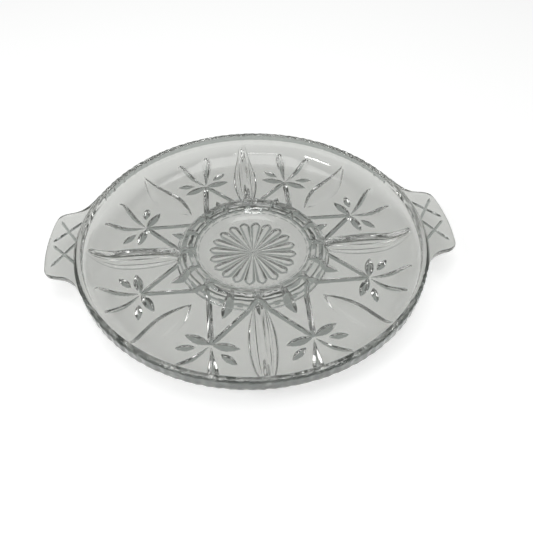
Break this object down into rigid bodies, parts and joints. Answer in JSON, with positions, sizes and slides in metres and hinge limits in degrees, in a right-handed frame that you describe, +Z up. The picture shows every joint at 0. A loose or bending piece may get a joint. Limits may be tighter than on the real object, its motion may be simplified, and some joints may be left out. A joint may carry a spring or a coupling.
{
  "type": "chip and dip server",
  "caption": "Round clear pressed-glass serving dish with a ringed dip well in the middle, chip compartments between raised dividers, a sloped wall and tab handles.",
  "frame": {"origin": "centre of the flat underside, on the surface the dish stands on", "axes": "+Z up out of the dish, +X towards the right handle, +Y towards the back compartments"},
  "size_m": [0.3246, 0.28, 0.0285],
  "materials": {
    "clear_glass": "fire-polished pressed soda-lime glass, clear with a faint grey-green cast"
  },
  "bodies": {
    "root": {"well_floor": "clear_glass", "well_ring": "clear_glass", "divider_right": "clear_glass", "divider_back": "clear_glass", "divider_left": "clear_glass", "divider_front": "clear_glass", "compartment_floor_back_right": "clear_glass", "compartment_floor_back_left": "clear_glass", "compartment_floor_front_left": "clear_glass", "compartment_floor_front_right": "clear_glass", "outer_wall": "clear_glass", "rim": "clear_glass", "handle_right": "clear_glass", "handle_left": "clear_glass"}
  },
  "joints": []
}
